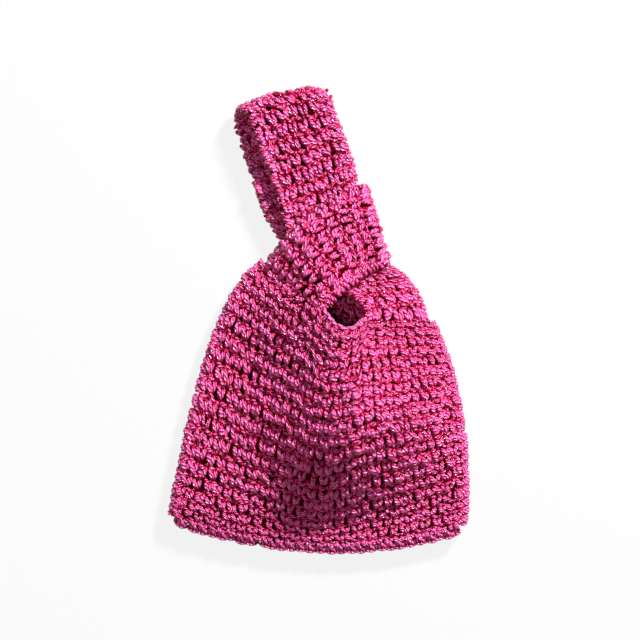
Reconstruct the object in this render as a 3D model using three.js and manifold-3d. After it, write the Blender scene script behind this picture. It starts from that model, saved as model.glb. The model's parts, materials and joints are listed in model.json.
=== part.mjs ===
// A crocheted knot bag, lying on its back with the long handle drawn through the short one.
// Millimetres, +Z up from the table, +X to the bag's right seen from above, +Y towards the handles.
// The bag is soft: every panel, band and strip is a sheet of even thickness on a curved mid-surface.
import * as THREE from "three";
import { mergeVertices } from "three/addons/utils/BufferGeometryUtils.js";
import Module from "manifold-3d";

// The crochet fabric, the seams that bind its edges and the edging of the mouth.
const FABRIC = 5;
const CLEARANCE = 0.3;
const SEAM_WIDTH = 4.2;
const EDGING_WIDTH = 5.2;

// The body inside its seams: the lower edge sags below its corners, of which the left lies higher, and
// both sides draw in upwards. The front stands up in a belly.
const BASE_WIDTH = 204.4;
const BASE_SAG = 16.6;
const BASE_TILT = 3.5;
const BASE_CROWN_SHIFT = 5;
const LEFT_SIDE_HEIGHT = 179;
const LEFT_SIDE_DRAW_IN = 66.8;
const RIGHT_SIDE_HEIGHT = 145;
const RIGHT_SIDE_DRAW_IN = 24;
const BELLY_HEIGHT = 50;

// The mouth, drawn down to a small hole: its place from the left shoulder, its size, its rim's heights.
const MOUTH_INSET = 39.5;
const MOUTH_DROP = 35.5;
const MOUTH_WIDTH = 28;
const MOUTH_LEFT_DEPTH = 13.5;
const MOUTH_RIGHT_DEPTH = 8;
const MOUTH_LEFT_HEIGHT = 36;
const MOUTH_RIM_HEIGHT = 44;
const MOUTH_RIGHT_HEIGHT = 34;
const BACK_MOUTH_WIDTH = 20;
const BACK_MOUTH_DEPTH = 6;

// The long handle, a loop of two strips. It turns about a pivot just above the short handle.
const PIVOT_INSET = 38.9;
const PIVOT_RISE = 45.6;
const NECK_HALF_WIDTH = 25.5;
const NECK_LENGTH = 15;
const NECK_STRAIGHT = 8.5;
const NECK_DROP = 16;
const ROOT_DEPTH = 50;
const ROOT_RIGHT_DEPTH = 13;
const ROOT_LEFT_DEPTH = 30;
const STRIP_HALF_WIDTH = 30.2;
const STRIP_LENGTH = 51;
const STRIP_TOP_SKEW = 8;
const STRIP_TOP_BULGE = 3;
const STRIP_LEAN = 20;
const STRIP_CROSSING_GAP = 2.4;
const STRIP_LOOP_GAP = 11;
const BACK_STRIP_SHIFT = 10;

// The short handle, a loop round the long one: its lean and width, its bulge at the start, how high its
// upper and lower edge rise there, and its round corners.
const BAND_LEAN = 16;
const BAND_WIDTH = 61;
const BAND_ABOVE_PIVOT = 0.6;
const BAND_BULGE = 12;
const BAND_LIFT = 33;
const BAND_LOW_LIFT = 42;
const WRAP_RADIUS = 4.5;
const WRAP_SLACK = 2;

// How the sides bend: two pulls on each, as shares of its draw-in and of its height.
const LEFT_SIDE_BEND = [
  [0.1, 0.12],
  [0.38, 0.89],
];
const RIGHT_SIDE_BEND = [
  [-0.2, 0.34],
  [0.16, 0.77],
];

// Where things happen on a panel, as shares of its width and of its rows.
const MOUTH_STARTS = 0.375;
const MOUTH_ENDS = 0.625;
const BELLY_STARTS = 0.08;
const BELLY_RIDGE = 0.6;
const BELLY_FOOT = 0.11;
const BELLY_FULL = 0.58;
const BACK_LIFTS = 0.75;
const SEAM_TURNS = 0.06;

// How steeply the belly starts to rise on either side of its ridge. A value of 1 is even.
const BELLY_LEFT_CURVE = 2.2;
const BELLY_RIGHT_CURVE = 1.5;

// How far the bands and legs keep their direction at each end: shares of a band, lengths on a leg.
const BAND_START_PULL = 0.3;
const BAND_END_PULL = 0.25;
const LEG_INNER_PULLS = [12, 10];
const LEG_OUTER_PULLS = [30, 11.5];
const LEG_OUTER_TURN = 2;
const LEG_OUTER_SPREAD = 10;

// Facets: steps on a panel, on a band or strip, and round a half turn.
const PANEL_STEPS = 24;
const BAND_STEPS = 12;
const ROUND_STEPS = 8;

// Heights of the mid-surfaces of the fabric layers, counted up from the table.
const LAYER = FABRIC + CLEARANCE;
const FIRST_LAYER = FABRIC / 2;
const SECOND_LAYER = FIRST_LAYER + LAYER;
const FRONT_STRIP_LAYER = SECOND_LAYER + LAYER + STRIP_CROSSING_GAP;
const BAND_LAYER = FRONT_STRIP_LAYER + LAYER;

const PINK = 0xc2447f;
const DEEP_PINK = 0xa82c63;

const wasm = await Module();
wasm.setup();

const bag = new THREE.Group();

function point(x, y, z = 0) {
  return new THREE.Vector3(x, y, z);
}

function lerp(a, b, share) {
  return a + (b - a) * share;
}

// Goes smoothly from 0 at the value low to 1 at the value high.
function ramp(value, low, high) {
  return THREE.MathUtils.smoothstep(value, low, high);
}

// A unit vector in the table's plane, leaning to the left of +Y by so many degrees.
function leaning(degrees) {
  const angle = THREE.MathUtils.degToRad(degrees);
  return point(-Math.sin(angle), Math.cos(angle));
}

// The unit vector to the right of an upward one.
function rightOf(up) {
  return point(up.y, -up.x);
}

function straight(from, to) {
  return (share) => from.clone().lerp(to, share);
}

function addPiece(name, geometry, color) {
  const material = new THREE.MeshStandardMaterial({ color, roughness: 0.55, metalness: 0 });
  const mesh = new THREE.Mesh(geometry, material);
  mesh.name = name;
  bag.add(mesh);
}

// A closed sheet of fabric, on a mid-surface that is a function of two shares from 0 to 1.
// With extra it is thicker and reaches past its edges, to cut its neighbours clear of it.
function sheet(surface, acrossSteps, alongSteps, extra = 0) {
  const half = FABRIC / 2 + extra;
  const step = 1e-3;
  const acrossReach = extra / surface(0, 0.5).distanceTo(surface(1, 0.5));
  const alongReach = extra / surface(0.5, 0).distanceTo(surface(0.5, 1));
  const columns = acrossSteps + 1;
  const count = columns * (alongSteps + 1);
  const positions = new Float32Array(count * 2 * 3);
  for (let row = 0; row <= alongSteps; row++) {
    for (let column = 0; column < columns; column++) {
      const u = lerp(-acrossReach, 1 + acrossReach, column / acrossSteps);
      const v = lerp(-alongReach, 1 + alongReach, row / alongSteps);
      const across = surface(u + step, v).sub(surface(u - step, v));
      const along = surface(u, v + step).sub(surface(u, v - step));
      const normal = across.cross(along).normalize().multiplyScalar(half);
      const middle = surface(u, v);
      const index = row * columns + column;
      middle.clone().add(normal).toArray(positions, index * 3);
      middle.clone().sub(normal).toArray(positions, (count + index) * 3);
    }
  }
  const faces = [];
  const quad = (a, b, c, d) => faces.push(a, b, c, a, c, d);
  for (let row = 0; row < alongSteps; row++) {
    for (let column = 0; column < acrossSteps; column++) {
      const a = row * columns + column;
      const b = a + 1;
      const c = b + columns;
      const d = a + columns;
      quad(a, b, c, d);
      quad(count + d, count + c, count + b, count + a);
    }
  }
  const rim = [];
  for (let column = 0; column < acrossSteps; column++) rim.push(column);
  for (let row = 0; row < alongSteps; row++) rim.push(row * columns + acrossSteps);
  for (let column = acrossSteps; column > 0; column--) rim.push(alongSteps * columns + column);
  for (let row = alongSteps; row > 0; row--) rim.push(row * columns);
  rim.forEach((a, i) => {
    const b = rim[(i + 1) % rim.length];
    quad(b, a, count + a, count + b);
  });
  const geometry = new THREE.BufferGeometry();
  geometry.setAttribute("position", new THREE.BufferAttribute(positions, 3));
  geometry.setIndex(faces);
  return geometry;
}

// A round or oval rope along a path, for seams and edgings.
function rope(path, width, height, steps) {
  const section = new THREE.Shape();
  section.absellipse(0, 0, height / 2, width / 2, 0, Math.PI * 2);
  const options = { steps, curveSegments: ROUND_STEPS / 2, bevelEnabled: false, extrudePath: path };
  return new THREE.ExtrudeGeometry(section, options);
}

function solidOf(geometry) {
  const bare = geometry.clone();
  bare.deleteAttribute("normal");
  bare.deleteAttribute("uv");
  const merged = mergeVertices(bare, 1e-3);
  const vertProperties = merged.attributes.position.array;
  const triVerts = new Uint32Array(merged.index.array);
  return new wasm.Manifold(new wasm.Mesh({ numProp: 3, vertProperties, triVerts }));
}

// The main body of a piece once its neighbours, each larger by the clearance, are cut away from it.
function clearOf(geometry, ...neighbours) {
  let solid = solidOf(geometry);
  neighbours.forEach((neighbour) => {
    solid = solid.subtract(solidOf(neighbour));
  });
  const bodies = solid.decompose().sort((a, b) => b.volume() - a.volume());
  const mesh = bodies[0].getMesh();
  const cut = new THREE.BufferGeometry();
  cut.setAttribute("position", new THREE.BufferAttribute(mesh.vertProperties, 3));
  cut.setIndex(new THREE.BufferAttribute(mesh.triVerts, 1));
  return cut;
}

// A point on a smooth curve that leaves its start along one pull and reaches its end along another.
function sweep(start, startPull, endPull, end, share) {
  const a = start.clone().add(startPull);
  const b = end.clone().sub(endPull);
  return new THREE.CubicBezierCurve3(start, a, b, end).getPoint(share);
}

// The body's outline.
const bottomLeft = point(-BASE_WIDTH / 2, BASE_SAG + BASE_TILT, SECOND_LAYER);
const bottomRight = point(BASE_WIDTH / 2, BASE_SAG - BASE_TILT, SECOND_LAYER);
const leftShoulder = point(LEFT_SIDE_DRAW_IN, LEFT_SIDE_HEIGHT).add(bottomLeft);
const rightShoulder = point(-RIGHT_SIDE_DRAW_IN, RIGHT_SIDE_HEIGHT, LAYER).add(bottomRight);
const baseCrown = point(BASE_CROWN_SHIFT, -BASE_SAG);
const bottomEdge = new THREE.QuadraticBezierCurve3(bottomLeft, baseCrown, bottomRight);

function sideEdge(foot, shoulder, bend) {
  const [low, high] = bend.map(([inward, up]) => {
    return point(lerp(foot.x, shoulder.x, inward), lerp(foot.y, shoulder.y, up));
  });
  return new THREE.CubicBezierCurve3(foot, low, high, shoulder);
}

const leftEdge = sideEdge(bottomLeft, leftShoulder, LEFT_SIDE_BEND);
const rightEdge = sideEdge(bottomRight, rightShoulder, RIGHT_SIDE_BEND);

// A panel's top row: the left handle's foot, the mouth's rim, the right handle's foot.
function rimBetween(left, right, lowest) {
  const low = lowest.clone().multiplyScalar(2);
  low.sub(left.clone().lerp(right, 0.5));
  return new THREE.QuadraticBezierCurve3(left, low, right);
}

function topRow(left, rim, right) {
  return (share) => {
    if (share < MOUTH_STARTS) return left(share / MOUTH_STARTS);
    if (share <= MOUTH_ENDS) return rim.getPoint((share - MOUTH_STARTS) / (MOUTH_ENDS - MOUTH_STARTS));
    return right((share - MOUTH_ENDS) / (1 - MOUTH_ENDS));
  };
}

const mouthX = leftShoulder.x + MOUTH_INSET;
const mouthY = leftShoulder.y - MOUTH_DROP - MOUTH_LEFT_DEPTH;
const mouthLeft = point(mouthX, mouthY + MOUTH_LEFT_DEPTH, MOUTH_LEFT_HEIGHT);
const mouthRight = point(mouthX + MOUTH_WIDTH, mouthY + MOUTH_RIGHT_DEPTH, MOUTH_RIGHT_HEIGHT);
const mouthLowest = point(mouthX + MOUTH_WIDTH / 2, mouthY, MOUTH_RIM_HEIGHT);
const frontRim = rimBetween(mouthLeft, mouthRight, mouthLowest);
const frontTop = topRow(
  straight(leftShoulder, mouthLeft),
  frontRim,
  straight(mouthRight, rightShoulder),
);

// The back's mouth lies higher, under the crossing of the handles.
const pivot = point(leftShoulder.x + PIVOT_INSET, leftShoulder.y + PIVOT_RISE);
const backMouthLeft = point(pivot.x - BACK_MOUTH_WIDTH / 4, mouthLeft.y + FABRIC * 4, FIRST_LAYER);
const backMouthRight = point(backMouthLeft.x + BACK_MOUTH_WIDTH, backMouthLeft.y, SECOND_LAYER);
const backMouthLowest = straight(backMouthLeft, backMouthRight)(0.5);
backMouthLowest.y -= BACK_MOUTH_DEPTH;
const backRim = rimBetween(backMouthLeft, backMouthRight, backMouthLowest);
const backTop = topRow(
  straight(leftShoulder, backMouthLeft),
  backRim,
  straight(backMouthRight, rightShoulder),
);

// A panel's place in plan, spread between its four edges. Most of its rows dip as its top row does.
function between(top, u, v) {
  const sag = bottomEdge.getPoint(u).sub(bottomLeft.clone().lerp(bottomRight, u));
  const dip = top(u).sub(leftShoulder.clone().lerp(rightShoulder, u));
  const cross = leftEdge.getPoint(v).lerp(rightEdge.getPoint(v), u);
  return cross.addScaledVector(sag, 1 - v).addScaledVector(dip, v * (2 - v));
}

// A curve from 0 to 1 that starts off as steeply as its bend says.
function bent(share, bend) {
  const part = THREE.MathUtils.clamp(share, 0, 1);
  return part * (bend - (bend - 1) * part);
}

// The front rises from its edges to the ridge of a belly, which runs on up into the mouth's rim.
function frontSurface(u, v) {
  const left = THREE.MathUtils.clamp((u - BELLY_STARTS) / (BELLY_RIDGE - BELLY_STARTS), 0, 1);
  const right = (1 - u) / (1 - BELLY_RIDGE);
  const across = left * bent(left, BELLY_LEFT_CURVE) * bent(right, BELLY_RIGHT_CURVE);
  const belly = BELLY_HEIGHT * across * ramp(v, BELLY_FOOT, BELLY_FULL);
  const top = frontTop(u).z - SECOND_LAYER;
  return between(frontTop, u, v).setZ(SECOND_LAYER + lerp(belly, top, ramp(v, BELLY_FULL, 1)));
}

// The back lies flat, and lifts by one layer at the long handle's foot, over the short handle's band.
function backSurface(u, v) {
  const lift = LAYER * ramp(u, MOUTH_STARTS, MOUTH_ENDS) * ramp(v, BACK_LIFTS, 1);
  return between(backTop, u, v).setZ(FIRST_LAYER + lift);
}

function frontEdging(extra) {
  const width = EDGING_WIDTH + 2 * extra;
  return rope(frontRim, width, width, BAND_STEPS);
}

function backEdging(extra) {
  const width = FABRIC - CLEARANCE + 2 * extra;
  return rope(backRim, width, width, BAND_STEPS);
}

function frontPanel(extra) {
  return sheet(frontSurface, PANEL_STEPS, PANEL_STEPS, extra);
}

function backPanel(extra) {
  return sheet(backSurface, (PANEL_STEPS * 2) / 3, PANEL_STEPS / 2, extra);
}

addPiece("front_panel", clearOf(frontPanel(0), frontEdging(CLEARANCE)), PINK);
addPiece("back_panel", clearOf(backPanel(0), backEdging(CLEARANCE)), PINK);
addPiece("front_mouth_edging", frontEdging(0), DEEP_PINK);
addPiece("back_mouth_edging", backEdging(0), DEEP_PINK);

// The seams are ropes of slip stitches that stand outside the two panels' edges and bind them.
// The bottom seam turns both corners, and the side seams carry on from its ends.
const SEAM_HEIGHT = 2 * FABRIC - CLEARANCE;
const SEAM_POINTS = 8;

function outside(edge, share, sign, lift = 0) {
  const out = rightOf(edge.getTangent(share)).setZ(0).normalize();
  const place = edge.getPoint(share).addScaledVector(out, sign * (SEAM_WIDTH / 2 + CLEARANCE));
  return place.setZ(FIRST_LAYER + LAYER / 2 + lift * ramp(share, BACK_LIFTS, 1));
}

function alongEdge(edge, from, to, sign, lift) {
  return Array.from({ length: SEAM_POINTS + 1 }, (_, i) => {
    return outside(edge, lerp(from, to, i / SEAM_POINTS), sign, lift);
  });
}

function seam(points, extra) {
  const path = new THREE.CatmullRomCurve3(points);
  return rope(path, SEAM_WIDTH + 2 * extra, SEAM_HEIGHT + 2 * extra, 2 * PANEL_STEPS);
}

function bottomSeam(extra) {
  const leftTurn = [outside(leftEdge, SEAM_TURNS, -1), outside(leftEdge, SEAM_TURNS / 2, -1)];
  const rightTurn = [outside(rightEdge, SEAM_TURNS / 2, 1), outside(rightEdge, SEAM_TURNS, 1)];
  const base = alongEdge(bottomEdge, SEAM_TURNS / 2, 1 - SEAM_TURNS / 2, 1);
  return seam([...leftTurn, ...base, ...rightTurn], extra);
}

const leftSeam = seam(alongEdge(leftEdge, SEAM_TURNS, 1, -1, 0), 0);
const rightSeam = seam(alongEdge(rightEdge, SEAM_TURNS, 1, 1, LAYER), 0);
const panels = [frontPanel(CLEARANCE), backPanel(CLEARANCE)];
addPiece("bottom_seam", clearOf(bottomSeam(0), ...panels), DEEP_PINK);
addPiece("left_side_seam", clearOf(leftSeam, bottomSeam(CLEARANCE), ...panels), DEEP_PINK);
addPiece("right_side_seam", clearOf(rightSeam, bottomSeam(CLEARANCE), ...panels), DEEP_PINK);

// The short handle: two bands from the left shoulder that meet in a join round the long handle's edge.
// The join stands off the long handle by a little slack, and its section is a round-cornered U.
const bandUp = leaning(BAND_LEAN);
const bandOut = rightOf(bandUp);
const wrapInner = CLEARANCE + WRAP_RADIUS - FABRIC / 2;
const wrapWall = BAND_LAYER - FIRST_LAYER - 2 * WRAP_RADIUS;
const wrapArc = (Math.PI / 2) * WRAP_RADIUS;
const bandHigh = pivot
  .clone()
  .addScaledVector(bandOut, NECK_HALF_WIDTH + WRAP_SLACK - wrapInner)
  .addScaledVector(bandUp, BAND_ABOVE_PIVOT);
const bandLow = bandHigh.clone().addScaledVector(bandUp, -BAND_WIDTH);

function bandEnd(share, height) {
  return bandHigh.clone().lerp(bandLow, share).setZ(height);
}

function bandSurface(start, height, lift) {
  return (u, v) => {
    const from = start(u * MOUTH_STARTS);
    const to = bandEnd(u, height);
    const chord = to.clone().sub(from).setZ(0);
    const endPull = bandOut.clone().multiplyScalar(chord.length() * BAND_END_PULL);
    const startPull = chord.multiplyScalar(BAND_START_PULL).addScaledVector(bandUp, BAND_BULGE * (1 - u));
    return sweep(from, startPull.setZ(lift(u) - from.z), endPull, to, v);
  };
}

function wrapSurface(u, v) {
  const travel = v * (2 * wrapArc + wrapWall);
  const firstTurn = Math.min(travel, wrapArc) / WRAP_RADIUS;
  const lastTurn = Math.max(travel - wrapArc - wrapWall, 0) / WRAP_RADIUS;
  const drop = Math.min(Math.max(travel - wrapArc, 0), wrapWall);
  const out = CLEARANCE + WRAP_RADIUS * (Math.sin(firstTurn) - (1 - Math.cos(lastTurn)));
  const fall = drop + WRAP_RADIUS * (1 - Math.cos(firstTurn) + Math.sin(lastTurn));
  return bandEnd(u, BAND_LAYER - fall).addScaledVector(bandOut, out);
}

const frontBandSurface = bandSurface(frontTop, BAND_LAYER, (u) => lerp(BAND_LIFT, BAND_LOW_LIFT, u));
const backBandSurface = bandSurface(
  (share) => backTop(share).setZ(FIRST_LAYER),
  FIRST_LAYER,
  () => FIRST_LAYER,
);

function frontBand(extra) {
  return sheet(frontBandSurface, BAND_STEPS, BAND_STEPS, extra);
}

function wrap(extra) {
  return sheet(wrapSurface, 2, 2 * ROUND_STEPS, extra);
}

addPiece(
  "short_handle_front",
  clearOf(frontBand(0), frontPanel(CLEARANCE), frontEdging(CLEARANCE)),
  PINK,
);
addPiece(
  "short_handle_back",
  clearOf(
    sheet(backBandSurface, BAND_STEPS / 2, BAND_STEPS / 2),
    backPanel(CLEARANCE),
    backEdging(CLEARANCE),
  ),
  PINK,
);
addPiece("short_handle_join", wrap(0), PINK);

// The long handle: two legs from the right shoulder, drawn in under the short handle's front band.
function rootEnd(share, height) {
  const across = lerp(-NECK_HALF_WIDTH, NECK_HALF_WIDTH, share);
  const place = pivot.clone().addScaledVector(bandUp, -ROOT_DEPTH);
  return place.addScaledVector(bandOut, across).setZ(height);
}

function legSurface(start, height) {
  return (u, v) => {
    const [startReach, endReach] = LEG_INNER_PULLS.map((pull, i) => lerp(pull, LEG_OUTER_PULLS[i], u));
    const startPull = point(-LEG_OUTER_TURN * u, startReach);
    const endPull = bandUp.clone().multiplyScalar(endReach).addScaledVector(bandOut, -LEG_OUTER_SPREAD * u);
    return sweep(start(lerp(MOUTH_ENDS, 1, u)), startPull, endPull, rootEnd(u, height), v);
  };
}

const frontLegSurface = legSurface(frontTop, FRONT_STRIP_LAYER);
const backLegSurface = legSurface((share) => backTop(share).setZ(SECOND_LAYER), SECOND_LAYER);
addPiece(
  "long_handle_front_leg",
  clearOf(
    sheet(frontLegSurface, BAND_STEPS, BAND_STEPS),
    frontPanel(CLEARANCE),
    frontEdging(CLEARANCE),
    frontBand(CLEARANCE),
    wrap(CLEARANCE),
  ),
  PINK,
);
addPiece(
  "long_handle_back_leg",
  clearOf(
    sheet(backLegSurface, BAND_STEPS, BAND_STEPS / 2),
    backPanel(CLEARANCE),
    backEdging(CLEARANCE),
    wrap(CLEARANCE),
  ),
  PINK,
);

// Flat lengths of the strips inside and just above the short handle. The root has a hollow end, in
// which the neck's round end turns about the pivot, and leaves room for the neck's low left corner.
function plate(shape, up, height) {
  const options = { depth: FABRIC, curveSegments: 2 * ROUND_STEPS, bevelEnabled: false };
  const geometry = new THREE.ExtrudeGeometry(shape, options);
  geometry.rotateZ(Math.atan2(-up.x, up.y));
  geometry.translate(pivot.x, pivot.y, height - FABRIC / 2);
  return geometry;
}

const hollowRadius = NECK_HALF_WIDTH + CLEARANCE;
const rootShape = new THREE.Shape();
rootShape.moveTo(0, -ROOT_LEFT_DEPTH);
rootShape.lineTo(-NECK_HALF_WIDTH, -ROOT_LEFT_DEPTH);
rootShape.lineTo(-NECK_HALF_WIDTH, CLEARANCE - ROOT_DEPTH);
rootShape.lineTo(NECK_HALF_WIDTH, CLEARANCE - ROOT_DEPTH);
rootShape.lineTo(NECK_HALF_WIDTH, -ROOT_RIGHT_DEPTH);
rootShape.absarc(0, 0, hollowRadius, -Math.asin(ROOT_RIGHT_DEPTH / hollowRadius), -Math.PI / 2, true);

function neckShape(left, right) {
  const shape = new THREE.Shape();
  const cornerAngle = Math.PI + Math.asin(NECK_DROP / NECK_HALF_WIDTH);
  shape.absarc(0, 0, NECK_HALF_WIDTH, cornerAngle, 2 * Math.PI, false);
  shape.lineTo(NECK_HALF_WIDTH, NECK_STRAIGHT);
  shape.lineTo(right, NECK_LENGTH);
  shape.lineTo(left, NECK_LENGTH);
  shape.lineTo(left, -NECK_DROP);
  return shape;
}

const stripUp = leaning(STRIP_LEAN);
const stripOut = rightOf(stripUp);
const backLeft = -STRIP_HALF_WIDTH - BACK_STRIP_SHIFT;
const backRight = STRIP_HALF_WIDTH - BACK_STRIP_SHIFT;
const frontNeckShape = neckShape(-STRIP_HALF_WIDTH, STRIP_HALF_WIDTH);
const backNeckShape = neckShape(backLeft, backRight);
addPiece("long_handle_front_root", plate(rootShape, bandUp, FRONT_STRIP_LAYER), PINK);
addPiece("long_handle_back_root", plate(rootShape, bandUp, SECOND_LAYER), PINK);
addPiece("long_handle_front_neck", plate(frontNeckShape, stripUp, FRONT_STRIP_LAYER), PINK);
addPiece("long_handle_back_neck", plate(backNeckShape, stripUp, SECOND_LAYER), PINK);

// The strips above the fold line, and the join that turns over between them at the top.
const stripStart = NECK_LENGTH + CLEARANCE;
const frontStripTop = FIRST_LAYER + FABRIC + STRIP_LOOP_GAP;
const joinRadius = (frontStripTop - FIRST_LAYER) / 2;

// The end of the strips slants, their left edges being the longer ones, and bulges a little.
function stripEnd(u) {
  return stripStart + STRIP_LENGTH + STRIP_TOP_SKEW * (0.5 - u) + STRIP_TOP_BULGE * 4 * u * (1 - u);
}

function onStrip(across, along, height) {
  const place = pivot.clone().addScaledVector(stripOut, across).addScaledVector(stripUp, along);
  return place.setZ(height);
}

function frontStripSurface(u, v) {
  const across = lerp(-STRIP_HALF_WIDTH, STRIP_HALF_WIDTH, u);
  const height = lerp(FRONT_STRIP_LAYER, frontStripTop, ramp(v, 0, 1));
  return onStrip(across, lerp(stripStart, stripEnd(u), v), height);
}

function backStripSurface(u, v) {
  const height = lerp(SECOND_LAYER, FIRST_LAYER, ramp(v, 0, 0.5));
  return onStrip(lerp(backLeft, backRight, u), lerp(stripStart, stripEnd(u), v), height);
}

function joinSurface(u, v) {
  const turn = v * Math.PI;
  const across = lerp(-STRIP_HALF_WIDTH, STRIP_HALF_WIDTH, u) - BACK_STRIP_SHIFT * v;
  const along = stripEnd(u) + CLEARANCE + joinRadius * Math.sin(turn);
  return onStrip(across, along, FIRST_LAYER + joinRadius * (1 + Math.cos(turn)));
}

addPiece("long_handle_front_strip", sheet(frontStripSurface, BAND_STEPS / 3, BAND_STEPS), PINK);
addPiece("long_handle_back_strip", sheet(backStripSurface, BAND_STEPS / 3, BAND_STEPS), PINK);
addPiece("long_handle_join", sheet(joinSurface, BAND_STEPS / 3, 2 * ROUND_STEPS), PINK);

// The origin is the middle of the bag's footprint, on the table.
const box = new THREE.Box3().setFromObject(bag);
const middle = box.getCenter(point(0, 0));
bag.position.set(-middle.x, -middle.y, -box.min.z);

export default bag;
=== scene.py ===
import json
import math

import bmesh
import bpy
import numpy as np
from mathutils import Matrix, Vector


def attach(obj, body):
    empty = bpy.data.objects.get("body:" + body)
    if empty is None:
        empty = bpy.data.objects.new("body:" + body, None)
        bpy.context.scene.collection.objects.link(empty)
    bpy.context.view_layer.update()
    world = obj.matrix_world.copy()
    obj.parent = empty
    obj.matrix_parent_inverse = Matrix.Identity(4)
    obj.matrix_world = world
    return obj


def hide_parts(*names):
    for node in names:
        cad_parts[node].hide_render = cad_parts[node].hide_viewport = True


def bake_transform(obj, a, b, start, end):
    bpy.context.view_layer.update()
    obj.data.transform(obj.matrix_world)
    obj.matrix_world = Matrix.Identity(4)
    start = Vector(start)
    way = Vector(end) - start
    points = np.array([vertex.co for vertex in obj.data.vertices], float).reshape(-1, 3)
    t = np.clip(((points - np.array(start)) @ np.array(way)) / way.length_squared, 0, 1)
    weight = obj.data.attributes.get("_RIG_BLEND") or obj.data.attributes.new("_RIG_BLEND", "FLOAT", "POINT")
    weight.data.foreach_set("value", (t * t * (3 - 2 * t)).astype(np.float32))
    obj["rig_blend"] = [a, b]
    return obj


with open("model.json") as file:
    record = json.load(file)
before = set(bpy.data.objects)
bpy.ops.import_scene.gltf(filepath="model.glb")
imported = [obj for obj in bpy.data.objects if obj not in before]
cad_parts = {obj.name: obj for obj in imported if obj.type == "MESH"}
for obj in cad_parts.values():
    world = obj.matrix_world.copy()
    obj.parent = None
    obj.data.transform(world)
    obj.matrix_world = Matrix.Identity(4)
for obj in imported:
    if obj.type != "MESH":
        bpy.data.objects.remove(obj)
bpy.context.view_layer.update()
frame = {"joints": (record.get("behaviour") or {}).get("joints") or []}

# Back panel: one flat half of the bag, crocheted from a glossy hot-pink cord in close rows that are
# turned at each edge, from the lower edge up. It lies on the table, and its right side faces down.
BACK_HEIGHT = 0.0025
LAYER = 0.0053
FRONT_HEIGHT = 0.0078
joints = {joint["name"]: joint for joint in frame["joints"]}
crossing = np.array(joints["handle_swing"]["pos_m"]) * (1, 1, 0)
left_shoulder = crossing + (-0.0389, -0.0456, FRONT_HEIGHT)
bottom_left = left_shoulder + (-0.0668, -0.179, 0)
bottom_right = bottom_left + (0.2044, -0.007, 0)
right_shoulder = bottom_right + (-0.024, 0.145, LAYER)
base_crown = bottom_left + (0.1072, -0.0367, 0)
back_mouth_left = crossing + (-0.005, -0.0607, BACK_HEIGHT)
back_mouth_right = back_mouth_left + (0.02, 0, LAYER)
back_mouth_low = back_mouth_left + (0.01, -0.006, LAYER / 2)
MOUTH_STARTS = 0.375
MOUTH_ENDS = 0.625
SHOULDER_STARTS = 0.75
CORNER_ROUNDING = 0.0022


def bezier(share, *points):
    """The point at a share of a smooth curve from the first point to the last, pulled by the others."""
    share = np.asarray(share, float)[..., None]
    while len(points) > 1:
        points = [a + (b - a) * share for a, b in zip(points, points[1:])]
    return points[0]


def ramp(value, low, high):
    """Goes smoothly from 0 at the value low to 1 at the value high."""
    share = np.clip((np.asarray(value, float) - low) / (high - low), 0, 1)
    return share * share * (3 - 2 * share)


def reaches(line):
    """The distance along a line of places, up to each of them."""
    return np.append(0, np.cumsum(np.linalg.norm(np.diff(line, axis=0), axis=1)))


def side_edge(share, foot, shoulder, low_bend, high_bend):
    """A side of the bag, bent by two pulls given as shares of its draw-in and its height."""
    way = shoulder - foot
    return bezier(share, foot, foot + way * (*low_bend, 0), foot + way * (*high_bend, 0), shoulder)


def left_edge(share):
    return side_edge(share, bottom_left, left_shoulder, (0.1, 0.12), (0.38, 0.89))


def right_edge(share):
    return side_edge(share, bottom_right, right_shoulder, (-0.2, 0.34), (0.16, 0.77))


def bottom_edge(share):
    return bezier(share, bottom_left, base_crown, bottom_right)


def top_row(share, mouth_left, mouth_low, mouth_right):
    """A panel's last row: the short handle's foot, the mouth's rim, the long handle's foot."""
    share = np.asarray(share, float)
    pull = 2 * mouth_low - (mouth_left + mouth_right) / 2
    short_foot = bezier(share / MOUTH_STARTS, left_shoulder, mouth_left)
    rim = bezier((share - MOUTH_STARTS) / (MOUTH_ENDS - MOUTH_STARTS), mouth_left, pull, mouth_right)
    long_foot = bezier((share - MOUTH_ENDS) / (1 - MOUTH_ENDS), mouth_right, right_shoulder)
    at = share[..., None]
    return np.where(at < MOUTH_STARTS, short_foot, np.where(at <= MOUTH_ENDS, rim, long_foot))


def back_top(share):
    return top_row(share, back_mouth_left, back_mouth_low, back_mouth_right)


def between_edges(u, v, top):
    """A place on a panel, spread between its four edges. Most rows dip as the top row does.

    The two lower corners are rounded."""
    up, over = v[:, None], u[:, None]
    cross = left_edge(v) * (1 - over) + right_edge(v) * over
    sag = bottom_edge(u) - bezier(u, bottom_left, bottom_right)
    dip = top(u) - bezier(u, left_shoulder, right_shoulder)
    corner = ramp(np.abs(2 * u - 1), 0.9, 1) * (1 - ramp(v, 0, 0.06))
    inward = np.stack([-np.sign(u - 0.5), u * 0 + 1, u * 0], 1)
    rounding = inward * (CORNER_ROUNDING * corner)[:, None]
    return cross + sag * (1 - up) + dip * up * (2 - up) + rounding


def back_cloth(u, v):
    place = between_edges(u, v, back_top)
    place[:, 2] = BACK_HEIGHT + LAYER * ramp(u, MOUTH_STARTS, MOUTH_ENDS) * ramp(v, SHOULDER_STARTS, 1)
    return place


# Directions along curves and cloths are taken over this share of them.
STEP = 1e-3


def on_cloth(cloth, u, v, out):
    """The place at a distance out from a cloth's surface, along its normal."""
    across = cloth(u + STEP, v) - cloth(u - STEP, v)
    along = cloth(u, v + STEP) - cloth(u, v - STEP)
    normal = np.cross(across, along)
    normal /= np.linalg.norm(normal, axis=1, keepdims=True)
    return cloth(u, v) + normal * np.asarray(out)[:, None]


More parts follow.
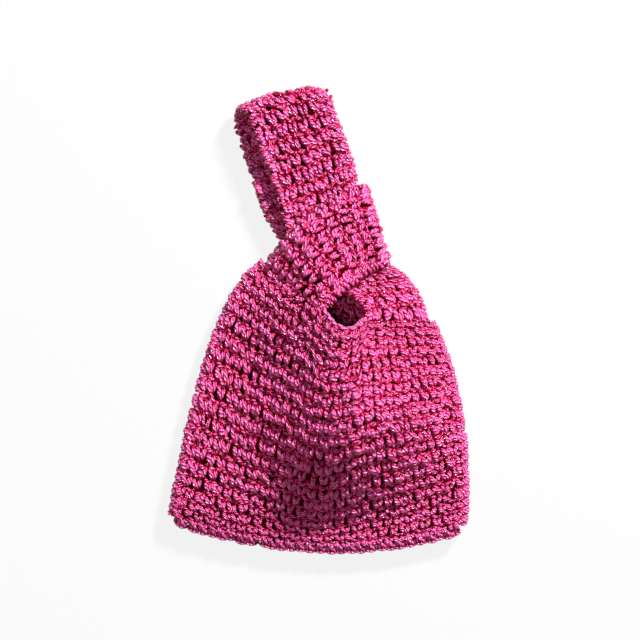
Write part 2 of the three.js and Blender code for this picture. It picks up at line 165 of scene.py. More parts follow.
class Value:
    """A socket that a finish is worked out from. Arithmetic on it adds Math nodes."""

    def __init__(self, tree, socket=None):
        self.tree = tree
        self.socket = socket

    def node(self, kind, settings, sockets, output=0):
        made = self.tree.nodes.new("ShaderNode" + kind)
        for name, setting in settings.items():
            setattr(made, name, setting)
        for name, value in sockets.items():
            if isinstance(value, Value):
                self.tree.links.new(value.socket, made.inputs[name])
            else:
                made.inputs[name].default_value = value
        return Value(self.tree, made.outputs[output])

    def output(self, name):
        return Value(self.tree, self.socket.node.outputs[name])

    def math(self, operation, first, second=0.0):
        return self.node("Math", {"operation": operation}, {0: first, 1: second})

    def __add__(self, other):
        return self.math("ADD", self, other)

    def __sub__(self, other):
        return self.math("SUBTRACT", self, other)

    def __rsub__(self, other):
        return self.math("SUBTRACT", other, self)

    def __mul__(self, other):
        return self.math("MULTIPLY", self, other)

    __radd__ = __add__
    __rmul__ = __mul__


def new_finish(name):
    finish = bpy.data.materials.new(name)
    finish.use_nodes = True
    return finish, finish.node_tree.nodes["Principled BSDF"], Value(finish.node_tree)


PLIES = 3
TWIST = 2100


def cord_finish(name, deep, bright):
    """A glossy cord of twisted plies. Its colour goes from the deep colour to the bright one: painted shade
    where it lies low and in the twist's grooves, painted highlight where it stands out, and a random tone
    from two noises.

    The twist is in radians for each metre of cord."""
    finish, shader, start = new_finish(name)
    lay = start.node("Attribute", {"attribute_name": "lay"}, {}, "Vector")
    parts = start.node("SeparateXYZ", {}, {"Vector": lay}, "X")
    angle = start.math("ARCTAN2", parts.output("Y"), parts)
    plies = start.math("SINE", angle * PLIES + parts.output("Z") * TWIST)
    place = start.node("TexCoord", {}, {}, "Object")
    dye = start.node("TexNoise", {}, {"Vector": place, "Scale": 45, "Detail": 3})
    fibre = start.node("TexNoise", {}, {"Vector": place, "Scale": 650, "Detail": 3})
    rise = start.node("Attribute", {"attribute_name": "rise"}, {}, "Fac")
    # Painted shade and painted highlight: the rise and the plies push the colour towards the bright one on
    # the cord's tops and ridges and towards the deep one in its low parts and grooves. The noises add a
    # random tone.
    tone_and_painted_light = dye * 0.4 + fibre * 1.2 + plies * 0.5 + rise * 2.1 - 1.95
    share = start.math("MINIMUM", start.math("MAXIMUM", tone_and_painted_light, 0), 1)
    colour = start.node("Mix", {"data_type": "RGBA"}, {0: share, 6: (*deep, 1), 7: (*bright, 1)}, 2)
    height = plies * 0.35 + fibre * 1.4
    bump = start.node("Bump", {}, {"Strength": 1.0, "Distance": 0.0018, "Height": height})
    rough = fibre * 0.2 + 0.1
    for socket, value in (("Base Color", colour), ("Roughness", rough), ("Normal", bump)):
        finish.node_tree.links.new(value.socket, shader.inputs[socket])
    shader.inputs["IOR"].default_value = 1.45
    return finish


def painted_shade_finish(name, deep, bright):
    """Painted shade: the inside of the stitches, near-black red where it is seen between them, standing in
    for the shade in those gaps.
    """
    finish, shader, start = new_finish(name)
    place = start.node("TexCoord", {}, {}, "Object")
    knots = start.node("TexVoronoi", {}, {"Vector": place, "Scale": 190})
    colour = start.node("Mix", {"data_type": "RGBA"}, {0: knots, 6: (*bright, 1), 7: (*deep, 1)}, 2)
    bump = start.node("Bump", {}, {"Strength": 0.6, "Distance": 0.0012, "Height": 1 - knots})
    for socket, value in (("Base Color", colour), ("Normal", bump)):
        finish.node_tree.links.new(value.socket, shader.inputs[socket])
    shader.inputs["Roughness"].default_value = 0.9
    shader.inputs["Specular IOR Level"].default_value = 0.0
    return finish


# Pink cord: the deep colour is painted shade and the bright one painted highlight, over the cord's own pink.
pink_cord_and_painted_light = cord_finish("pink_cord_and_painted_light", (0.52, 0.0, 0.05), (0.97, 0.165, 0.5))
# Painted shade: a near-black red sheet for the gaps between stitches.
painted_shade_ground = painted_shade_finish("painted_shade_ground", (0.008, 0.0, 0.0), (0.06, 0.0, 0.001))
GROUND_THICKNESS = 0.0014


def finished(piece, finish):
    """Applies a piece's modifiers, smooths it, and gives it its finish."""
    graph = bpy.context.evaluated_depsgraph_get()
    piece.data = bpy.data.meshes.new_from_object(piece.evaluated_get(graph))
    piece.modifiers.clear()
    piece.data.shade_smooth()
    piece.data.materials.clear()
    piece.data.materials.append(finish)
    return piece


def new_piece(name, shape):
    mesh = bpy.data.meshes.new(name)
    shape.to_mesh(mesh)
    piece = bpy.data.objects.new(name, mesh)
    bpy.context.scene.collection.objects.link(piece)
    return piece


def ground(name, cloth, across, along):
    """A thin sheet along the middle of a cloth, which the stitches stand on, in a finish of painted shade.
    """
    shape = bmesh.new()
    bmesh.ops.create_grid(shape, x_segments=across, y_segments=along, size=0.5)
    places = np.array([corner.co for corner in shape.verts]) + 0.5
    for corner, place in zip(shape.verts, on_cloth(cloth, places[:, 0], places[:, 1], places[:, 2] * 0)):
        corner.co = place
    piece = new_piece(name, shape)
    wall = piece.modifiers.new("wall", "SOLIDIFY")
    wall.thickness = GROUND_THICKNESS
    wall.offset = 0
    return finished(piece, painted_shade_ground)


CORD_SIDES = 6
CORD_CUTS = 5
# The height out of the cloth at which a strand's painted highlight is full.
FULL_RISE = 0.0045


def strand(shape, path, units, core):
    """Bends a straight length of cord along a path of places and radii. Units make them metres.

    Its rise is 0 where it lies in the cloth, or at its edge's core, and 1 where it stands out. The cord's
    finish paints shade where the rise is low and a highlight where it is high."""
    lay = shape.verts.layers.float_vector["lay"]
    rise = shape.verts.layers.float["rise"]
    before = len(shape.verts)
    cone = bmesh.ops.create_cone(shape, cap_ends=True, segments=CORD_SIDES, radius1=1, radius2=1, depth=1)
    edges = dict.fromkeys(edge for end in cone["verts"] for edge in end.link_edges)
    lengthwise = [edge for edge in edges if edge.verts[0].co.z != edge.verts[1].co.z]
    bmesh.ops.subdivide_edges(shape, edges=lengthwise, cuts=CORD_CUTS)
    metres = np.array(path) * (*units, 1)
    length = np.linalg.norm(np.diff(metres[:, :3], axis=0), axis=1).sum()
    for corner in list(shape.verts)[before:]:
        share = corner.co.z + 0.5
        ahead = (bezier(share + STEP, *metres) - bezier(share - STEP, *metres))[:3]
        ahead /= np.linalg.norm(ahead)
        side = np.cross((0, 0, 1), ahead)
        side /= np.linalg.norm(side)
        *middle, radius = bezier(share, *metres)
        offset = side * corner.co.x + np.cross(ahead, side) * corner.co.y
        corner[lay] = (corner.co.x, corner.co.y, share * length)
        corner.co = (np.array(middle) + offset * radius) / units
        depth = np.hypot(corner.co.y - core[0], corner.co.z - core[1]) if core else corner.co.z
        corner[rise] = np.interp(depth, (0, FULL_RISE), (0, 1))


def new_stitch(name, paths, units, core=None):
    """One stitch, whose place is counted in stitches across and repeats along, and in metres outward."""
    shape = bmesh.new()
    shape.verts.layers.float_vector.new("lay")
    shape.verts.layers.float.new("rise")
    for path in paths:
        strand(shape, path, units, core)
    mesh = bpy.data.meshes.new(name)
    shape.to_mesh(mesh)
    return mesh


def copies(name, stitch, places):
    """A piece made of copies of a stitch, with the places of all their corners."""
    piece = bpy.data.objects.new(name, stitch)
    bpy.context.scene.collection.objects.link(piece)
    row = piece.modifiers.new("row", "ARRAY")
    row.count = len(places) // len(stitch.vertices)
    row.use_relative_offset = False
    finished(piece, pink_cord_and_painted_light)
    piece.data.vertices.foreach_set("co", places.astype(np.float32).ravel())
    piece.data.update()
    return piece


# Two turned rows make one repeat: a plump V of two legs from the right side, then the slanting bar and
# the low back loop that the wrong side shows.
STITCH_WIDTH = 0.0076
REPEAT = 0.0092
turned_strands = [
    [
        (0.12, 0.76, -0.0016, 0.0010),
        (0.15, 0.66, 0.0028, 0.0015),
        (0.25, 0.40, 0.0040, 0.0019),
        (0.42, 0.14, 0.0036, 0.0024),
        (0.49, -0.06, -0.0014, 0.0014),
    ],
    [
        (0.88, 0.76, -0.0016, 0.0010),
        (0.85, 0.66, 0.0026, 0.0015),
        (0.77, 0.40, 0.0040, 0.0019),
        (0.63, 0.14, 0.0034, 0.0024),
        (0.57, -0.06, -0.0014, 0.0014),
    ],
    [
        (-0.12, 1.06, -0.0014, 0.0010),
        (0.04, 0.99, 0.0022, 0.0015),
        (0.30, 0.86, 0.0034, 0.0019),
        (0.56, 0.74, 0.0022, 0.0016),
        (0.70, 0.68, -0.0014, 0.0010),
    ],
    [
        (0.48, 0.70, -0.0012, 0.0010),
        (0.66, 0.80, 0.0014, 0.0015),
        (0.84, 0.92, 0.0026, 0.0018),
        (1.02, 1.02, 0.0014, 0.0015),
        (1.14, 1.06, -0.0012, 0.0010),
    ],
]
turned_stitch = new_stitch("turned_stitch", turned_strands, (STITCH_WIDTH, REPEAT, 1))

# Each repeat is shifted by this share of a stitch from the one below, and a row's last stitch keeps this
# share of one from the edge. A cloth's lower face is pressed flatter than its upper one.
ROW_SHIFT = 0.4
EDGE_GAP = 0.35
PRESSED = 0.6

# Stitches stray across, along and outward, and in width and slant. Their strands stray by themselves too.
STITCH_STRAYS = np.reshape((0.05, 0.05, 0.0003, 0.12, 0.18), (5, 1, 1))
STRAND_STRAYS = np.reshape((0.05, 0.05, 0.0005), (3, 1, 1))


def crochet(name, cloth, repeats, sides, seed):
    """Covers a cloth with stitches, row by row. Sides are 1 for its upper face and -1 for its lower."""
    chance = np.random.default_rng(seed)
    stitch = np.array([corner.co for corner in turned_stitch.vertices])
    strands = len(turned_strands)
    u = np.linspace(-0.08, 1.08, 59)
    places = []
    for side in sides:
        for row in range(repeats):
            reach = reaches(cloth(u, np.full(len(u), (row + 0.5) / repeats)))
            first, last = np.interp((0, 1), u, reach)
            count = max(2, round((last - first) / STITCH_WIDTH))
            middle = np.arange(-1, count + 1) + ROW_SHIFT * row % 1
            middle = middle[(middle > -EDGE_GAP) & (middle < count + EDGE_GAP)]
            middle = np.clip(middle, EDGE_GAP, count - EDGE_GAP)[:, None]
            over, along, outward, wider, slant = chance.normal(0, 1, (5, len(middle), 1)) * STITCH_STRAYS
            loose = chance.normal(0, 1, (3, len(middle), strands)) * STRAND_STRAYS
            loose = np.repeat(loose, len(stitch) // strands, axis=2)
            x = (stitch[:, 0] - 0.5) * side * (1 + wider) + loose[0]
            y = stitch[:, 1] + x * slant + along + loose[1] + (0 if side > 0 else 0.5)
            x = middle + x + over
            out = (stitch[:, 2] + outward + loose[2]) * (1 if side > 0 else -PRESSED)
            at = np.interp(first + x / count * (last - first), reach, u)
            places.append(on_cloth(cloth, at.ravel(), ((row + y) / repeats).ravel(), out.ravel()))
    return copies(name, turned_stitch, np.concatenate(places))


PANEL_REPEATS = 20
INSIDE_REPEATS = 11
INSIDE_STARTS = 0.45


def panel(node, cloth, cells, side, inside, seeds):
    """A panel's ground, the stitches on its outer side, and those inside the bag that the mouth shows."""
    left, right = inside

    def behind_mouth(u, v):
        return cloth(left + (right - left) * u, INSIDE_STARTS + (1 - INSIDE_STARTS) * v)

    made = ground(node + "_ground", cloth, cells, cells)
    stitches = crochet(node + "_stitches", cloth, PANEL_REPEATS, [side], seeds[0])
    lining = crochet(node + "_inside", behind_mouth, INSIDE_REPEATS, [-side], seeds[1])
    for piece in (made, stitches, lining):
        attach(piece, "bag")
    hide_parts(node)


panel("back_panel", back_cloth, 40, -1, (0.2, 0.8), (1, 8))

# Front panel: the other half, worked the same way, with its right side up. It lies on the back panel
# along its edges and swells into a soft belly under the mouth, which the handles draw together.
front_mouth_left = left_shoulder * (1, 1, 0) + (0.0395, -0.0355, 0.036)
front_mouth_right = left_shoulder * (1, 1, 0) + (0.0675, -0.0410, 0.034)
front_mouth_low = left_shoulder * (1, 1, 0) + (0.0535, -0.0490, 0.044)
BELLY_HEIGHT = 0.050
BELLY_LEFT = 0.08
BELLY_RIDGE = 0.6
BELLY_FOOT = 0.11
BELLY_TOP = 0.58


def front_top(share):
    return top_row(share, front_mouth_left, front_mouth_low, front_mouth_right)


def front_cloth(u, v):
    place = between_edges(u, v, front_top)
    mouth = front_top(u)[:, 2] - FRONT_HEIGHT
    left = np.clip((u - BELLY_LEFT) / (BELLY_RIDGE - BELLY_LEFT), 0, 1)
    right = np.clip((1 - u) / (1 - BELLY_RIDGE), 0, 1)
    across = left**2 * (2.2 - 1.2 * left) * right * (1.5 - 0.5 * right)
    belly = BELLY_HEIGHT * across * ramp(v, BELLY_FOOT, BELLY_TOP)
    share = ramp(v, BELLY_TOP, 1)
    place[:, 2] = FRONT_HEIGHT + belly * (1 - share) + mouth * share
    return place


panel("front_panel", front_cloth, 48, 1, (0.25, 0.8), (2, 9))

# Seams: the two panels are laid together and joined in the same cord, worked through both edges: along
# the bottom with a chain of slip stitches, and along both sides with single turns round the rows' ends.
CHAIN_PITCH = 0.0070
SIDE_PITCH = 0.0052
CHAIN_CORE = (0.0014, 0.0062)
SIDE_CORE = (0.0004, 0.0062)
CORE_RADIUS = 0.0032
chain_link = new_stitch(
    "chain_link",
    [
        [
            (-0.20, 0.0022, 0.0070, 0.0008),
            (0.15, 0.0036, 0.0092, 0.0012),
            (0.50, 0.0046, 0.0096, 0.0015),
            (0.85, 0.0040, 0.0088, 0.0012),
            (1.20, 0.0022, 0.0066, 0.0008),
        ],
        [
            (-0.12, -0.0040, 0.0088, 0.0008),
            (0.15, -0.0022, 0.0110, 0.0012),
            (0.45, 0.0002, 0.0116, 0.0015),
            (0.75, 0.0020, 0.0102, 0.0012),
            (1.00, 0.0032, 0.0076, 0.0008),
        ],
        [
            (-0.30, -0.0012, 0.0030, 0.0009),
            (0.10, 0.0010, 0.0024, 0.0012),
            (0.50, 0.0026, 0.0028, 0.0015),
            (0.90, 0.0028, 0.0042, 0.0012),
            (1.30, 0.0018, 0.0060, 0.0009),
        ],
        [(-0.05, *CHAIN_CORE, CORE_RADIUS), (1.05, *CHAIN_CORE, CORE_RADIUS)],
    ],
    (CHAIN_PITCH, 1, 1),
    CHAIN_CORE,
)
row_end = new_stitch(
    "row_end",
    [
        [
            (0.00, -0.0036, 0.0074, 0.0010),
            (0.10, -0.0012, 0.0108, 0.0015),
            (0.40, 0.0032, 0.0112, 0.0020),
            (0.66, 0.0042, 0.0066, 0.0020),
            (0.80, 0.0026, 0.0032, 0.0016),
            (0.95, -0.0020, 0.0024, 0.0010),
        ],
        [(-0.05, *SIDE_CORE, CORE_RADIUS), (1.05, *SIDE_CORE, CORE_RADIUS)],
    ],
    (SIDE_PITCH, 1, 1),
    SIDE_CORE,
)
SEAM_STRAYS = np.reshape((0.12, 0.0003), (2, 1, 1))
SEAM_END_GAP = 0.3
CORNER_DRAW = 0.0030
CORNER_REACH = 0.035


def overcast(name, stitch, pitch, edge, corners, sign, lift, seed):
    """Cord worked round both panels' edges, and drawn in at the corners.

    The sign is 1 where outward is to the edge's right. The lift raises the edge's shoulder."""
    chance = np.random.default_rng(seed)
    turn = np.array([corner.co for corner in stitch.vertices])
    share = np.linspace(0, 1, 201)
    reach = reaches(edge(share))
    count = round(reach[-1] / pitch)
    shift, swell = chance.normal(0, 1, (2, count, 1)) * SEAM_STRAYS
    x = np.clip(np.arange(count)[:, None] + turn[:, 0] + shift, SEAM_END_GAP, count - SEAM_END_GAP)
    at = np.interp(x.ravel() / count * reach[-1], reach, share)
    ahead = edge(at + STEP) - edge(at - STEP)
    out = np.stack([ahead[:, 1], -ahead[:, 0], ahead[:, 2] * 0], 1) * sign
    out /= np.linalg.norm(out, axis=1, keepdims=True)
    offset = (turn[:, 1] + swell).ravel()
    for corner in corners:
        offset = offset - CORNER_DRAW * ramp(np.abs(at - corner), CORNER_REACH, 0)
    places = edge(at) * (1, 1, 0) + out * offset[:, None]
    places[:, 2] = np.tile(turn[:, 2], count) + lift * ramp(at, SHOULDER_STARTS, 1)
    return copies(name, stitch, places)


for name, node, stitch, pitch, edge, corners, sign, lift, seed in (
    ("bottom_seam_chain", "bottom_seam", chain_link, CHAIN_PITCH, bottom_edge, (0, 1), 1, 0, 3),
    ("left_seam_chain", "left_side_seam", row_end, SIDE_PITCH, left_edge, (0,), -1, 0, 4),
    ("right_seam_chain", "right_side_seam", row_end, SIDE_PITCH, right_edge, (0,), 1, LAYER, 5),
):
    seam = overcast(name, stitch, pitch, edge, corners, sign, lift, seed)
    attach(seam, "bag")
    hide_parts(node)

# Mouth edgings: the open stretch of each panel's last row is bound with a line of slip stitches,
# a chain of leaning loops that makes a smooth, firm rim.
RIM_PITCH = 0.0056
RIM_LIFT = 0.0008
RIM_STRAY = 0.05
rim_stitch = new_stitch(
    "rim_stitch",
    [
        [
            (-0.35, 0.0030, -0.0012, 0.0011),
            (0.0, 0.0040, 0.0012, 0.0015),
            (0.55, 0.0036, 0.0030, 0.0020),
            (1.0, 0.0012, 0.0022, 0.0016),
            (1.25, -0.0004, -0.0010, 0.0011),
        ],
        [
            (-0.3, -0.0030, -0.0010, 0.0011),
            (0.0, -0.0036, 0.0010, 0.0015),
            (0.55, -0.0024, 0.0028, 0.0019),
            (1.0, 0.0004, 0.0020, 0.0016),
            (1.25, 0.0020, -0.0010, 0.0011),
        ],
    ],
    (RIM_PITCH, 1, 1),
    (0, 0),
)


def edging(name, top, cloth, seed):
    """A chain of slip stitches along a panel's rim, between the two handles' feet."""
    chance = np.random.default_rng(seed)
    loop = np.array([corner.co for corner in rim_stitch.vertices])
    share = np.linspace(MOUTH_STARTS, MOUTH_ENDS, 101)
    reach = reaches(top(share))
    count = round(reach[-1] / RIM_PITCH)
    x = np.arange(count)[:, None] + loop[:, 0] + chance.normal(0, RIM_STRAY, (count, 1))
    at = np.interp(x.ravel() / count * reach[-1], reach, share)
    rim = np.ones(len(at))
    along = cloth(at, rim) - cloth(at, rim * 0.97)
    along /= np.linalg.norm(along, axis=1, keepdims=True)
    over = np.tile(loop[:, 1], count)[:, None]
    places = on_cloth(cloth, at, rim, np.tile(loop[:, 2], count) + RIM_LIFT) + along * over
    return copies(name, rim_stitch, places)


for name, node, top, cloth, seed in (
    ("front_mouth_rim", "front_mouth_edging", front_top, front_cloth, 6),
    ("back_mouth_rim", "back_mouth_edging", back_top, back_cloth, 7),
):
    rim = edging(name, top, cloth, seed)
    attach(rim, "bag")
    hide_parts(node)

# Short handle: a narrow strip grows out of the left of each panel. The two are joined in a loop that
# passes over and under the long handle and round its right edge.
BAND_WIDTH = 0.061
OVER_HEIGHT = 0.0208
WRAP_RADIUS = 0.0045


def leaning(degrees):
    """The directions along and across a strip that leans to the left on the table."""
    angle = math.radians(degrees)
    along = np.array([-math.sin(angle), math.cos(angle), 0])
    return along, np.array([along[1], -along[0], 0])


band_up, band_out = leaning(16)
band_high = crossing + band_out * 0.0252 + band_up * 0.0006
band_low = band_high - band_up * BAND_WIDTH


def band_cloth(u, v, start, height, lift):
    """A band from its foot to the long handle's right edge, pulled up to a lift on its way."""
    end = bezier(u, band_high, band_low) + (0, 0, height)
    way = (end - start) * (1, 1, 0)
    rise = np.stack([u * 0, u * 0, lift - start[:, 2]], 1) + band_up * (0.012 * (1 - u))[:, None]
    reach = np.linalg.norm(way, axis=1, keepdims=True)
    return bezier(v, start, start + way * 0.3 + rise, end - band_out * reach * 0.25, end)


def back_foot(share, height):
    """A strip's foot on the back panel's last row, at a level height."""
    return back_top(share) * (1, 1, 0) + (0, 0, height)


def front_band(u, v):
    return band_cloth(u, v, front_top(u * MOUTH_STARTS), OVER_HEIGHT, 0.033 + 0.009 * u)


def back_band(u, v):
    return band_cloth(u, v, back_foot(u * MOUTH_STARTS, BACK_HEIGHT), BACK_HEIGHT, BACK_HEIGHT)


def band_wrap(u, v):
    """Round the long handle's edge: a quarter turn, a straight drop and a quarter turn back."""
    arc = math.pi / 2 * WRAP_RADIUS
    drop = OVER_HEIGHT - BACK_HEIGHT - 2 * WRAP_RADIUS
    travel = v * (2 * arc + drop)
    first = np.clip(travel, -arc, arc) / WRAP_RADIUS
    last = np.clip(travel - arc - drop, 0, 2 * arc) / WRAP_RADIUS
    out = WRAP_RADIUS * (np.sin(first) - (1 - np.cos(last)))
    fall = np.clip(travel - arc, 0, drop) + WRAP_RADIUS * (1 - np.cos(first) + np.sin(last))
    place = bezier(u, band_high, band_low) + band_out * out[:, None]
    place[:, 2] = OVER_HEIGHT - fall
    return place


edge_turn = new_stitch(
    "edge_turn",
    [
        [
            (-0.2, -0.0036, 0.0006, 0.0011),
            (0.05, -0.0022, 0.0040, 0.0015),
            (0.45, 0.0024, 0.0036, 0.0019),
            (0.65, 0.0034, 0.0, 0.0020),
            (0.65, 0.0024, -0.0036, 0.0018),
            (0.95, -0.0022, -0.0040, 0.0015),
            (1.2, -0.0036, -0.0006, 0.0011),
        ]
    ],
    (REPEAT / 2, 1, 1),
    (0, 0),
)
TURN_STRAYS = np.reshape((0.1, 0.0004), (2, 1, 1))
STRIP_MARGIN = 0.055


def edge_turns(name, cloth, count, seed):
    """The turns of cord at both long edges of a strip, where each row ends and the next begins."""
    chance = np.random.default_rng(seed)
    turn = np.array([corner.co for corner in edge_turn.vertices])
    places = []
    for edge, sign in ((0.0, -1), (1.0, 1)):
        shift, swell = chance.normal(0, 1, (2, count, 1)) * TURN_STRAYS
        v = ((np.arange(count)[:, None] + turn[:, 0] + shift) / count).ravel()
        out = (turn[:, 1] + swell).ravel() * sign
        lift = np.tile(turn[:, 2], count) * sign
        lift = np.where(lift < 0, lift * PRESSED, lift)
        u = np.full(len(v), edge)
        across = cloth(u + STEP, v) - cloth(u - STEP, v)
        across /= np.linalg.norm(across, axis=1, keepdims=True)
        places.append(on_cloth(cloth, u, v, lift) + across * out[:, None])
    return copies(name, edge_turn, np.concatenate(places))


def strip(node, cloth, repeats, seed, hold):
    """A crocheted strip, seen from both faces: its ground, its stitches and its edges' turns.

    The function hold fixes each piece of it to a body, or between two."""

    def inner(u, v):
        return cloth(STRIP_MARGIN + (1 - 2 * STRIP_MARGIN) * u, v)

    made = ground(node + "_ground", inner, 12, 4 * repeats)
    stitches = crochet(node + "_stitches", inner, repeats, [1, -1], seed)
    turns = edge_turns(node + "_edges", inner, 2 * repeats, seed + 50)
    for piece in (made, stitches, turns):
        hold(piece)
    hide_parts(node)


def hold_band(piece):
    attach(piece, "bag")


for node, cloth, repeats, flat in (
    ("short_handle_front", front_band, 7, (0.06, 0.072)),
    ("short_handle_back", back_band, 6, (0.06, 0.06)),
    ("short_handle_join", band_wrap, 3, (0.0585, 0.0234)),
):
    strip(node, cloth, repeats, 10 + repeats, hold_band)

# Long handle's legs and roots: a strip grows out of the right of each panel, narrows under the short
# handle's front band and runs through it. It slips through that loop as the handle is drawn.
OVER_STRAP = 0.0155
UNDER_STRAP = 0.0078
ROOT_END = -0.05
ROOT_LENGTH = 0.026
ROOT_HALF_WIDTH = 0.0255
NECK_END = 0.0153
strap_up, strap_out = leaning(20)


def strap_place(across, along, height):
    """A place on the long handle, across and along it from the crossing. Its foot leans less."""
    turned = ramp(along, ROOT_END, 0.0)[:, None]
    up = band_up * (1 - turned) + strap_up * turned
    out = band_out * (1 - turned) + strap_out * turned
    place = crossing + up * along[:, None] + out * across[:, None]
    place[:, 2] = height
    return place


def strap_middle(along):
    """The middle of the long handle's upper strip, at one distance along it."""
    return strap_place(np.zeros(1), np.array([along]), OVER_STRAP)[0]


def leg_cloth(u, v, start, height):
    end = strap_place(ROOT_HALF_WIDTH * (2 * u - 1), np.full(len(u), ROOT_END), height)
    leave = np.stack([0.006 - 0.012 * u, 0.022 + 0.008 * u, 0 * u], 1)
    arrive = band_up * (0.010 + 0.0015 * u)[:, None] - band_out * (0.010 * u)[:, None]
    return bezier(v, start, start + leave, end - arrive, end)


def front_leg(u, v):
    return leg_cloth(u, v, front_top(MOUTH_ENDS + (1 - MOUTH_ENDS) * u), OVER_STRAP)


def back_leg(u, v):
    return leg_cloth(u, v, back_foot(MOUTH_ENDS + (1 - MOUTH_ENDS) * u, UNDER_STRAP), UNDER_STRAP)


# Each strip's left and right edges at stations along it.
stations = (ROOT_END, -0.03, -0.016, 0.0, NECK_END)
front_edges = ((-0.0255, -0.0285, -0.0325, -0.032, -0.0302), (0.0255, 0.0255, 0.0255, 0.0275, 0.0302))
back_edges = ((-0.0255, -0.030, -0.0400, -0.0432, -0.0432), (0.0255, 0.025, 0.0235, 0.0215, 0.0202))


def strap_cloth(u, along, edges, height):
    left, right = (np.interp(along, stations, edge) for edge in edges)
    return strap_place(left + (right - left) * u, along, height)


def front_root(u, v):
    return strap_cloth(u, ROOT_END + ROOT_LENGTH * v, front_edges, OVER_STRAP)


def back_root(u, v):
    return strap_cloth(u, ROOT_END + ROOT_LENGTH * v, back_edges, UNDER_STRAP)


leg_start = strap_middle(ROOT_END - 0.04)
leg_end = strap_middle(ROOT_END)


def hold_leg(piece):
    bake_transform(piece, "bag", "handle_root", start=leg_start, end=leg_end)


for node, cloth, repeats, flat in (
    ("long_handle_front_leg", front_leg, 6, (0.051, 0.052)),
    ("long_handle_front_root", front_root, 3, (0.053, 0.026)),
    ("long_handle_back_leg", back_leg, 6, (0.047, 0.035)),
    ("long_handle_back_root", back_root, 3, (0.053, 0.026)),
):
    strip(node, cloth, repeats, 20 + repeats, hold_leg)

# Long handle's necks: the same two strips where they come out above the short handle. The crochet
# gives in its own plane, so the handle can be swung to either side here.
NECK_START = ROOT_END + ROOT_LENGTH
neck_start = strap_middle(NECK_START)
neck_end = strap_middle(0.004)


def front_neck(u, v):
    return strap_cloth(u, NECK_START + (NECK_END - NECK_START) * v, front_edges, OVER_STRAP)


def back_neck(u, v):
    return strap_cloth(u, NECK_START + (NECK_END - NECK_START) * v, back_edges, UNDER_STRAP)


def hold_neck(piece):
    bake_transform(piece, "handle_root", "handle_neck", start=neck_start, end=neck_end)


for node, cloth in (("long_handle_front_neck", front_neck), ("long_handle_back_neck", back_neck)):
    strip(node, cloth, 4, 30, hold_neck)

# Long handle's loop: the two strips run on and are joined at the top, where the loop turns over. The
# hand goes between them. The loop folds up off the table just above the short handle.
STRIP_TOP = 0.0185
STRIP_LENGTH = 0.051
STRIP_WIDTH = 0.0604
turn_radius = (STRIP_TOP - BACK_HEIGHT) / 2
fold_start = strap_middle(NECK_END - 0.002)
fold_end = strap_middle(NECK_END + 0.012)


def strip_end(u):
    """The strips' slanting end: their left edges are the longer ones."""
    return NECK_END + STRIP_LENGTH + 0.008 * (0.5 - u) + 0.012 * u * (1 - u)


def front_strip(u, v):
    height = OVER_STRAP + (STRIP_TOP - OVER_STRAP) * ramp(v, 0, 1)
    return strap_place(STRIP_WIDTH * (u - 0.5), NECK_END + (strip_end(u) - NECK_END) * v, height)


def back_strip(u, v):
    height = UNDER_STRAP + (BACK_HEIGHT - UNDER_STRAP) * ramp(v, 0, 0.5)
    left = -0.0432 + 0.003 * v
    return strap_place(left + (0.0202 - left) * u, NECK_END + (strip_end(u) - NECK_END) * v, height)


def loop_join(u, v):
    height = BACK_HEIGHT + turn_radius * (1 + np.cos(v * math.pi))
    along = strip_end(u) + (turn_radius - 0.0015) * np.sin(v * math.pi)
    return strap_place(STRIP_WIDTH * (u - 0.5) - 0.010 * v, along, height)


def hold_loop(piece):
    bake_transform(piece, "handle_neck", "handle_loop", start=fold_start, end=fold_end)


for node, cloth, repeats, flat in (
    ("long_handle_front_strip", front_strip, 5, (0.0604, 0.051)),
    ("long_handle_back_strip", back_strip, 5, (0.0604, 0.051)),
    ("long_handle_join", loop_join, 3, (0.0604, 0.0252)),
):
    strip(node, cloth, repeats, 40 + repeats, hold_loop)

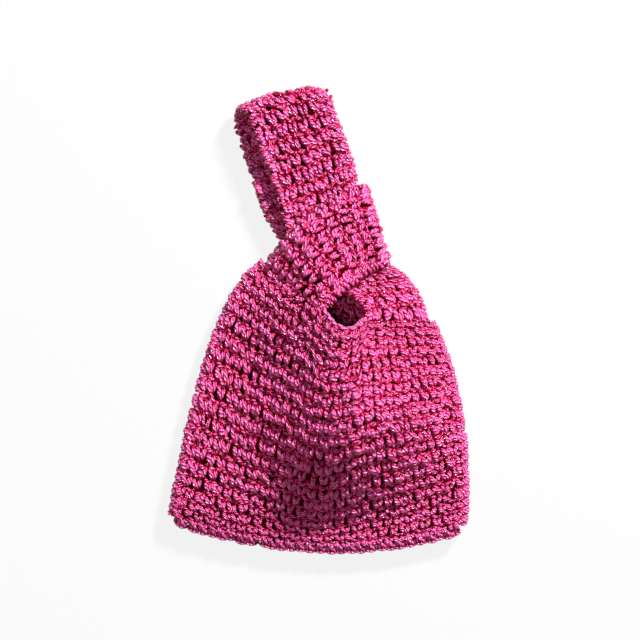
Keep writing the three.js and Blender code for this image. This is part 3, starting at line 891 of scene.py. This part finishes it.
# Stage: a plain white table, a main lamp from the upper right, a wider and weaker one from above, a
# little light all round, and a camera straight above, as the photograph was taken.
PIXEL = 0.0007
HALF_FRAME = 320
CAMERA_HEIGHT = 2.0
TABLE_HEIGHT = -0.0018
TABLE_SHARE = 0.85
ROOM_LIGHT = 0.03
shape = bmesh.new()
bmesh.ops.create_grid(shape, x_segments=1, y_segments=1, size=3)
bmesh.ops.translate(shape, verts=shape.verts, vec=(0, 0, TABLE_HEIGHT))
table = new_piece("table", shape)
white, shader, start = new_finish("white_table")
shader.inputs["Base Color"].default_value = (0.5, 0.5, 0.5, 1)
shader.inputs["Roughness"].default_value = 0.9
ray = start.node("LightPath", {}, {}, "Is Camera Ray")
seen = (ray + ray.output("Is Glossy Ray") + ray.output("Is Transmission Ray")) * TABLE_SHARE
paper = start.node("Emission", {}, {"Color": (1, 1, 1, 1), "Strength": 1})
lit = Value(white.node_tree, shader.outputs[0])
table_top = start.node("MixShader", {}, {0: seen, 1: lit, 2: paper})
white.node_tree.links.new(table_top.socket, white.node_tree.nodes["Material Output"].inputs["Surface"])
table.data.materials.append(white)

world = bpy.data.worlds.new("room")
bpy.context.scene.world = world
world.use_nodes = True
world.node_tree.nodes["Background"].inputs["Color"].default_value = (1, 1, 1, 1)
world.node_tree.nodes["Background"].inputs["Strength"].default_value = ROOM_LIGHT

for name, watts, width, place in (
    ("main_lamp", 99, 0.3, (0.96, 1.28, 1.04)),
    ("fill_lamp", 20, 0.6, (-0.3, -0.2, 2.3)),
):
    lamp = bpy.data.lights.new(name, "AREA")
    lamp.shape = "DISK"
    lamp.size = width
    lamp.energy = watts
    stand = bpy.data.objects.new(name, lamp)
    stand.location = place
    tilt = math.atan2(math.hypot(place[0], place[1]), place[2])
    stand.rotation_euler = (tilt, 0, math.atan2(place[0], -place[1]))
    bpy.context.scene.collection.objects.link(stand)

camera = bpy.data.cameras.new("camera")
camera.angle = 2 * math.atan(HALF_FRAME * PIXEL / CAMERA_HEIGHT)
camera_stand = bpy.data.objects.new("camera", camera)
camera_stand.location = (0.0008, 0, CAMERA_HEIGHT + 0.01)
bpy.context.scene.collection.objects.link(camera_stand)
bpy.context.scene.camera = camera_stand
bpy.context.scene.view_settings.view_transform = "Standard"
